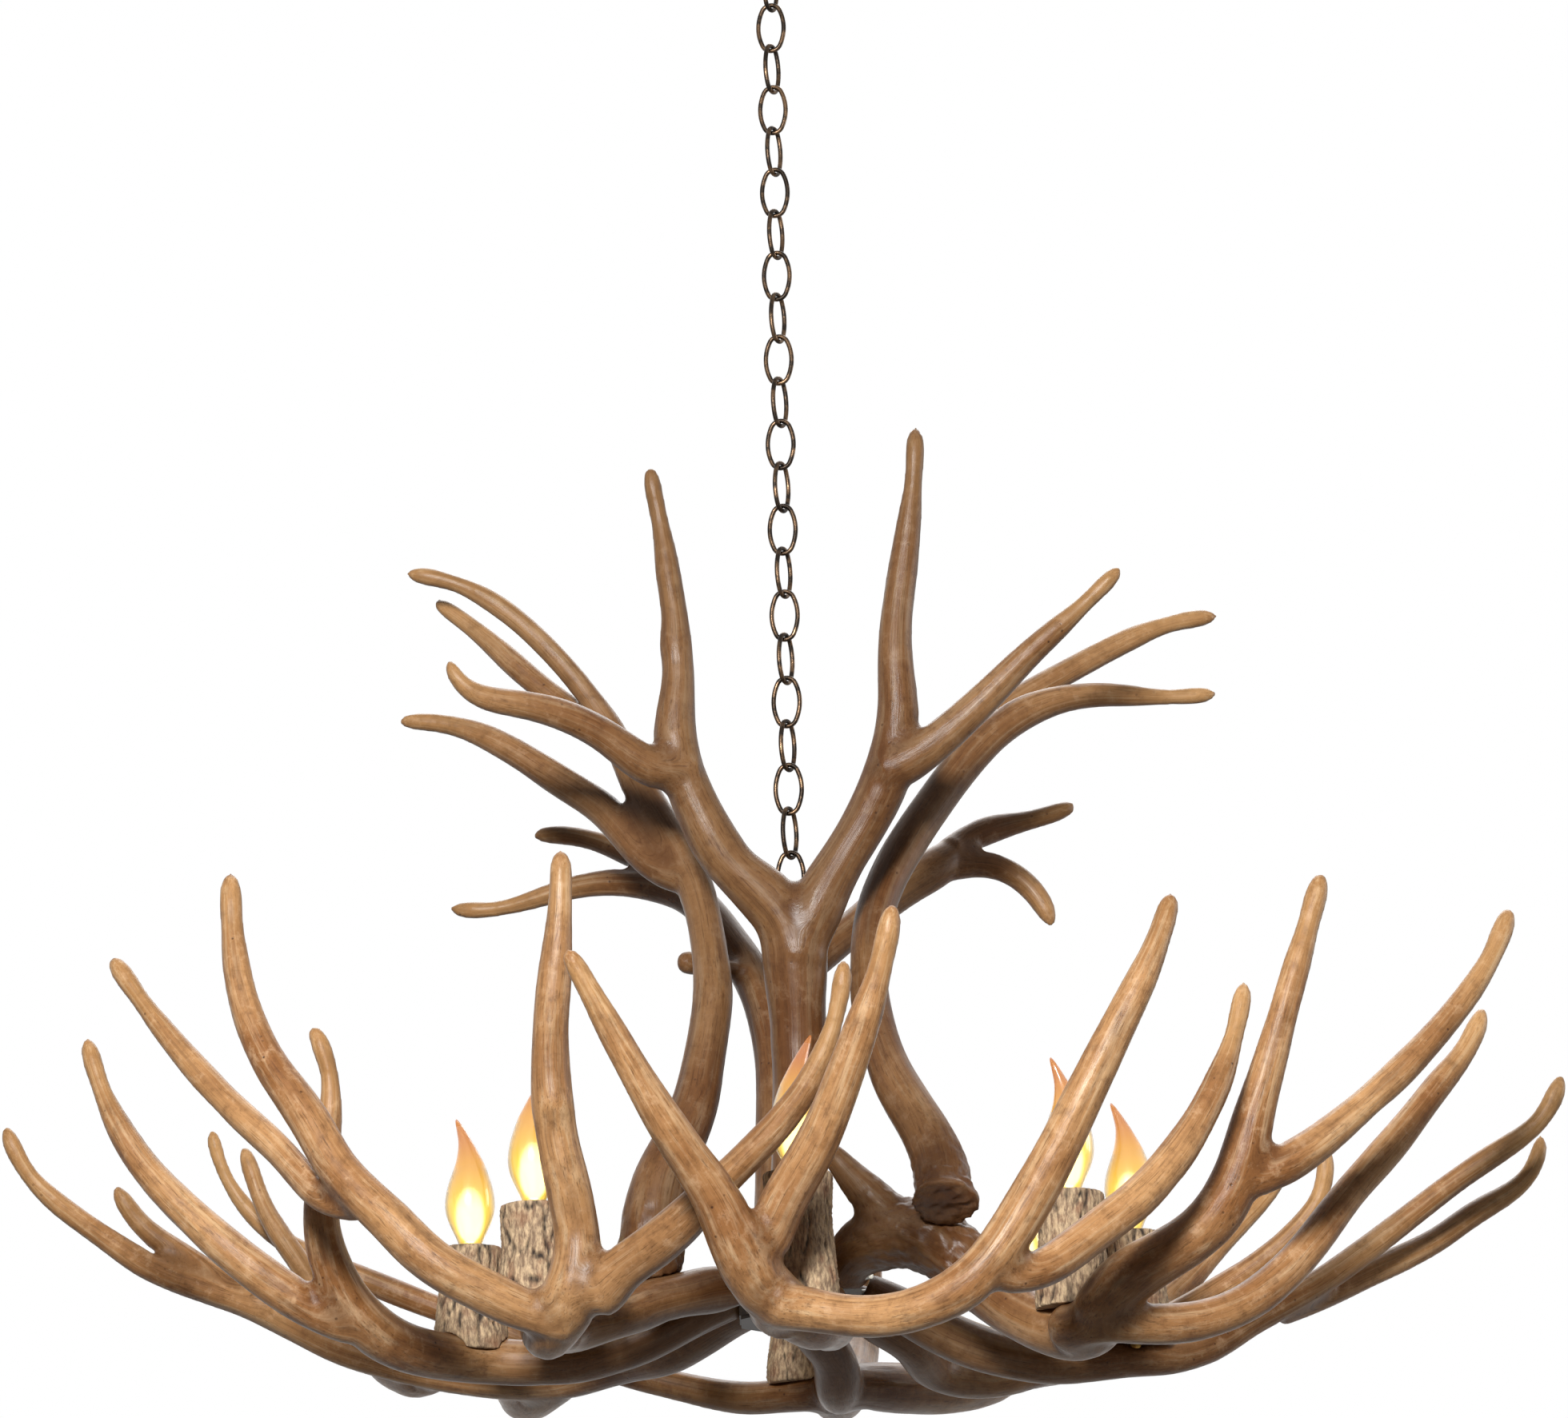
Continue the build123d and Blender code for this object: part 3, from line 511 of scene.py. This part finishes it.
def furrow_bark(node):
    """The sleeve's skin with bark plates, cut back from its CAD outline by the furrows."""
    mesh = even_skin(merged_copy(node), bark_step)
    ends = np.array([edge.vertices[:] for edge in mesh.edges])
    places = spread(read_vectors(mesh, "co"), ends, 2)
    low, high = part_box(node)
    centre = (np.array(low) + np.array(high))[:2] / 2
    from_axis = places[:, :2] - centre
    radius = np.linalg.norm(from_axis, axis=1)
    on_bark = np.clip((radius - bore_edge) / bark_start, 0, 1)
    round_it = np.column_stack([
        from_axis / radius[:, None] * stick_radius, places[:, 2] * plate_stretch,
    ])
    round_it += np.array([centre[0], centre[1], 0]) * stick_shift
    plates = np.array([
        noise.ridged_multi_fractal(Vector(p) * plates_per_metre, 0.9, 2.1, 3, 0.9, 2.0)
        for p in round_it
    ])
    plates = np.clip(plates / plate_peak, 0, 1)
    furrow = np.clip((plates - furrow_edge) / furrow_wall, 0, 1)
    crumbs = np.array([noise.fractal(Vector(p) * crumbs_per_metre, 0.8, 2.0, 3) for p in places])
    outward = np.column_stack([from_axis / radius[:, None], np.zeros(len(places))])
    rise = (-furrow_depth * furrow + crumb_height * crumbs) * on_bark
    places = places + outward * rise[:, None]
    move_points(mesh, places)
    store(mesh, "furrow", furrow)
    store(mesh, "bark_place", round_it)
    return mesh


# Painted bark: dry-brushed pale ridges over a grey-tan coat, dark umber wash in the furrows.
painted_bark = finish_named("dry_brushed_moulded_bark")
bark_furrow = put(painted_bark, "ShaderNodeAttribute", attribute_name="furrow").outputs["Fac"]
bark_field = put(painted_bark, "ShaderNodeAttribute", attribute_name="bark_place").outputs["Vector"]
bark_object = put(painted_bark, "ShaderNodeTexCoord").outputs["Object"]
scales = put(painted_bark, "ShaderNodeTexNoise", {
    "Vector": bark_field, "Scale": 420.0, "Detail": 5.0, "Roughness": 0.7,
})
lichen = put(painted_bark, "ShaderNodeTexNoise", {"Vector": bark_object, "Scale": 75.0, "Detail": 4.0})
brushed = put(painted_bark, "ShaderNodeMapRange", {0: scales.outputs[0], 1: 0.40, 2: 0.62, 3: 0.0, 4: 1.0})
ridge_colour = put(
    painted_bark, "ShaderNodeMix",
    {0: brushed.outputs[0], 6: linear("#7d6650"), 7: linear("#cbb08c")}, data_type="RGBA",
)
reddish = put(painted_bark, "ShaderNodeMapRange", {0: lichen.outputs[0], 1: 0.5, 2: 0.7, 3: 0.0, 4: 0.6})
bark_coat = put(
    painted_bark, "ShaderNodeMix",
    {0: reddish.outputs[0], 6: ridge_colour.outputs[2], 7: linear("#7c4c2f")}, data_type="RGBA",
)
wash = put(painted_bark, "ShaderNodeMapRange", {0: bark_furrow, 1: 0.05, 2: 0.5, 3: 0.0, 4: 0.96})
bark_colour = put(
    painted_bark, "ShaderNodeMix",
    {0: wash.outputs[0], 6: bark_coat.outputs[2], 7: linear("#1d130c")}, data_type="RGBA",
)
bark_bump = put(painted_bark, "ShaderNodeBump", {
    "Height": scales.outputs[0], "Strength": 0.7, "Distance": 0.0012,
})
close_with(painted_bark, put(painted_bark, "ShaderNodeBsdfPrincipled", {
    "Base Color": bark_colour.outputs[2], "Roughness": 0.82, "Normal": bark_bump.outputs[0],
}))
for name in candle_names:
    node = "bark_sleeve_" + name
    add_piece(furrow_bark(node), node + "_furrowed", node, "antler_frame", painted_bark)


# ------------------------------------------------------------ flame bulbs
# A hand-blown candle bulb: thin amber glass drawn out to a bent tip, on a small brass screw
# base with a solder contact. Lit, its filament fills the belly with yellow-white light.
glass_profile = [
    (-0.0020, 0.0065), (0.0030, 0.0078), (0.0080, 0.0097), (0.0140, 0.0128), (0.0210, 0.0158),
    (0.0270, 0.0172), (0.0320, 0.0175), (0.0385, 0.0168), (0.0450, 0.0153), (0.0525, 0.0127),
    (0.0600, 0.0099), (0.0670, 0.0074), (0.0740, 0.0053), (0.0800, 0.0039), (0.0860, 0.0027),
    (0.0905, 0.0013), (0.0918, 0.0),
]
bend_heights = [0.0, 0.032, 0.060, 0.074, 0.086, 0.092]
bend_offsets = [0.0, 0.0, -0.0005, 0.0025, 0.0075, 0.0105]
tip_directions = {
    "front": 0, "front_right": 200, "right": 170, "back_right": 0,
    "back": 90, "back_left": 180, "left": 150, "front_left": 0,
}


def turned(profile, steps=32):
    """A closed shape spun round Z from (height, radius) points."""
    shape = bmesh.new()
    points = [shape.verts.new((radius, 0, height)) for height, radius in profile]
    edges = [shape.edges.new(pair) for pair in zip(points, points[1:])]
    bmesh.ops.spin(
        shape, geom=points + edges, cent=(0, 0, 0), axis=(0, 0, 1),
        angle=2 * math.pi, steps=steps, use_merge=True,
    )
    bmesh.ops.remove_doubles(shape, verts=shape.verts, dist=1e-5)
    bmesh.ops.recalc_face_normals(shape, faces=shape.faces)
    return shape


def bent_flame(shape, direction):
    """Lean a turned flame's tip to one side."""
    angle = math.radians(direction)
    for vert in shape.verts:
        offset = np.interp(vert.co.z, bend_heights, bend_offsets)
        vert.co.x += offset * math.cos(angle)
        vert.co.y += offset * math.sin(angle)


def show_lamp_piece(shape, ending, bulb, material):
    """Set a lamp piece on its candle's rim and let it turn with the bulb."""
    joint = next(j for j in frame["joints"] if j["child"] == bulb)
    bmesh.ops.translate(shape, verts=shape.verts, vec=joint["pos_m"])
    mesh = bpy.data.meshes.new(bulb + ending)
    shape.to_mesh(mesh)
    shape.free()
    return add_piece(mesh, bulb + ending, bulb, bulb, material)


# Amber soda glass, blown and etched inside: it blurs the filament, and shines outside.
amber_glass = finish_named("blown_amber_soda_glass")
glass_place = put(amber_glass, "ShaderNodeTexCoord").outputs["Object"]
seed = put(amber_glass, "ShaderNodeTexNoise", {"Vector": glass_place, "Scale": 60.0, "Detail": 1.0})
glass_wave = put(amber_glass, "ShaderNodeBump", {
    "Height": seed.outputs[0], "Strength": 0.15, "Distance": 0.001,
})
close_with(amber_glass, put(amber_glass, "ShaderNodeBsdfPrincipled", {
    "Base Color": linear("#fbe6b8"), "Roughness": 0.30, "IOR": 1.45, "Transmission Weight": 1.0,
    "Coat Weight": 1.0, "Coat Roughness": 0.03, "Normal": glass_wave.outputs[0],
}))
# The lit filament: a clear yellow haze fills the glass and turns orange where the glass narrows
# to the tip, and a white-hot core stands in the low belly.
haze = finish_named("lit_haze_in_the_glass")
haze_object = put(haze, "ShaderNodeTexCoord").outputs["Object"]
glow_place = put(haze, "ShaderNodeSeparateXYZ", {0: haze_object})
glow_height = put(haze, "ShaderNodeMath", {0: glow_place.outputs["Z"], 1: -rim_height}, operation="ADD")
drawn_out = put(haze, "ShaderNodeMapRange", {0: glow_height.outputs[0], 1: 0.030, 2: 0.078, 3: 0.0, 4: 1.0})
haze_colour = put(
    haze, "ShaderNodeMix",
    {0: drawn_out.outputs[0], 6: linear("#ffe23c"), 7: linear("#f5924a")}, data_type="RGBA",
)
haze_strength = put(haze, "ShaderNodeMapRange", {0: drawn_out.outputs[0], 1: 0.0, 2: 1.0, 3: 1.5, 4: 0.8})
close_with(haze, put(haze, "ShaderNodeMixShader", {
    0: 0.5,
    1: put(haze, "ShaderNodeBsdfTransparent").outputs[0],
    2: put(haze, "ShaderNodeEmission", {
        "Color": haze_colour.outputs[2], "Strength": haze_strength.outputs[0],
    }).outputs[0],
}))
white_hot = finish_named("white_hot_filament_glow")
core_object = put(white_hot, "ShaderNodeTexCoord").outputs["Object"]
core_place = put(white_hot, "ShaderNodeSeparateXYZ", {0: core_object})
core_rise = put(white_hot, "ShaderNodeMath", {0: core_place.outputs["Z"], 1: -rim_height}, operation="ADD")
cooling = put(white_hot, "ShaderNodeMapRange", {0: core_rise.outputs[0], 1: 0.026, 2: 0.043, 3: 7.0, 4: 2.5})
close_with(white_hot, put(white_hot, "ShaderNodeEmission", {
    "Color": linear("#fff4c8"), "Strength": cooling.outputs[0],
}))

base_profile = [
    (-0.0225, 0.0), (-0.0225, 0.0022), (-0.0212, 0.0026), (-0.0205, 0.0040), (-0.0195, 0.0050),
    (-0.0180, 0.0059), (-0.0168, 0.0054), (-0.0156, 0.0059), (-0.0144, 0.0054), (-0.0132, 0.0059),
    (-0.0120, 0.0054), (-0.0108, 0.0059), (-0.0096, 0.0054), (-0.0084, 0.0059), (-0.0070, 0.0057),
    (-0.0022, 0.0059), (-0.0020, 0.0),
]
core_middle = 0.0235         # height of the glow's middle above the rim
core_reach = 0.0195
core_radius = 0.0098
core_steps = [math.pi * step / 10 for step in range(11)]
core_profile = [
    (core_middle - core_reach * math.cos(t), core_radius * math.sin(t)) for t in core_steps
]
haze_lift = 0.001            # keeps the haze clear of the glass at its foot
haze_share = 0.9             # and all round
haze_profile = [(height + haze_lift, radius * haze_share) for height, radius in glass_profile[1:]]
for name in candle_names:
    bulb = "bulb_" + name
    envelope = turned(glass_profile)
    bent_flame(envelope, tip_directions[name])
    glass = show_lamp_piece(envelope, "_glass", bulb, amber_glass)
    wall = glass.modifiers.new("wall", "SOLIDIFY")
    wall.thickness = 0.0008
    filled = turned(haze_profile, 24)
    bent_flame(filled, tip_directions[name])
    hazy = show_lamp_piece(filled, "_haze", bulb, haze)
    hot = show_lamp_piece(turned(core_profile, 24), "_core", bulb, white_hot)
    show_lamp_piece(turned(base_profile), "_base", bulb, brass)
    for piece in (glass, hazy, hot):
        rounder = piece.modifiers.new("rounder", "SUBSURF")
        rounder.levels = 1
        rounder.render_levels = 1


# ------------------------------------------------------------ floor, light and surroundings
# A plain pale studio floor lies below the hanging lamp and fades into a white surround far
# off. A key, a fill and a broad soft lamp behind light the lamp as flat daylight would.
floor_level = -2.6
floor_reach = 60.0
floor_mesh = bmesh.new()
bmesh.ops.create_grid(floor_mesh, x_segments=1, y_segments=1, size=floor_reach)
bmesh.ops.translate(floor_mesh, verts=floor_mesh.verts, vec=(0, 0, floor_level))
floor_data = bpy.data.meshes.new("floor")
floor_mesh.to_mesh(floor_data)
floor_mesh.free()
floor = bpy.data.objects.new("floor", floor_data)
bpy.context.scene.collection.objects.link(floor)


def meets_eye(material):
    """1 for rays that show the background straight, in a gloss or through glass, else 0."""
    rays = put(material, "ShaderNodeLightPath")
    reflected = put(material, "ShaderNodeMath", {
        0: rays.outputs["Is Camera Ray"], 1: rays.outputs["Is Glossy Ray"],
    }, operation="MAXIMUM")
    return put(material, "ShaderNodeMath", {
        0: reflected.outputs[0], 1: rays.outputs["Is Transmission Ray"],
    }, operation="MAXIMUM").outputs[0]


# Matt white paint on boards, faintly scuffed. It sends less light back up than it shows,
# so that the undersides of the antlers stay dark.
matt_floor = finish_named("matt_white_studio_floor")
floor_place = put(matt_floor, "ShaderNodeTexCoord").outputs["Object"]
scuffs = put(matt_floor, "ShaderNodeTexNoise", {"Vector": floor_place, "Scale": 2.0, "Detail": 3.0})
floor_colour = put(
    matt_floor, "ShaderNodeMix",
    {0: scuffs.outputs[0], 6: linear("#dedbd6"), 7: linear("#e8e6e2")}, data_type="RGBA",
)
floor_bounce = put(matt_floor, "ShaderNodeLightPath").outputs["Is Diffuse Ray"]
floor_return = put(
    matt_floor, "ShaderNodeMix",
    {0: floor_bounce, 6: floor_colour.outputs[2], 7: linear("#6b6865")}, data_type="RGBA",
)
far_off = put(matt_floor, "ShaderNodeVectorMath", {0: floor_place}, operation="LENGTH")
floor_fade = put(matt_floor, "ShaderNodeMapRange", {
    0: far_off.outputs["Value"], 1: 7.0, 2: 28.0, 3: 0.66, 4: 1.0,
})
floor_pale = put(matt_floor, "ShaderNodeMath", {
    0: meets_eye(matt_floor), 1: floor_fade.outputs[0],
}, operation="MULTIPLY")
close_with(matt_floor, put(matt_floor, "ShaderNodeMixShader", {
    0: floor_pale.outputs[0],
    1: put(matt_floor, "ShaderNodeBsdfDiffuse", {"Color": floor_return.outputs[2]}).outputs[0],
    2: put(matt_floor, "ShaderNodeEmission", {"Color": linear("#ffffff"), "Strength": 1.0}).outputs[0],
}))
floor_data.materials.append(matt_floor)

world = bpy.data.worlds.new("studio")
bpy.context.scene.world = world
world.use_nodes = True
world.node_tree.nodes.clear()
world_output = put(world, "ShaderNodeOutputWorld")
surround = put(world, "ShaderNodeBackground", {"Color": linear("#f4f4f6"), "Strength": 0.09})
white = put(world, "ShaderNodeBackground", {"Color": linear("#ffffff"), "Strength": 1.0})
shown = put(world, "ShaderNodeMixShader", {
    0: meets_eye(world), 1: surround.outputs[0], 2: white.outputs[0],
})
world.node_tree.links.new(shown.outputs[0], world_output.inputs["Surface"])

lamp_centre = Vector((0, 0, rim_height + 0.1))
for name, place, width, power in (
    ("key", (-0.6, -3.6, -0.1), 0.6, 200.0),
    ("fill", (3.0, 0.4, -0.2), 1.4, 28.0),
    ("back", (0.3, 2.2, 2.0), 2.6, 70.0),
):
    lamp = bpy.data.objects.new(name, bpy.data.lights.new(name, "AREA"))
    lamp.data.size = width
    lamp.data.energy = power
    lamp.location = place
    lamp.rotation_euler = (lamp_centre - lamp.location).to_track_quat("-Z", "Y").to_euler()
    bpy.context.scene.collection.objects.link(lamp)
bpy.context.scene.view_settings.view_transform = "Standard"
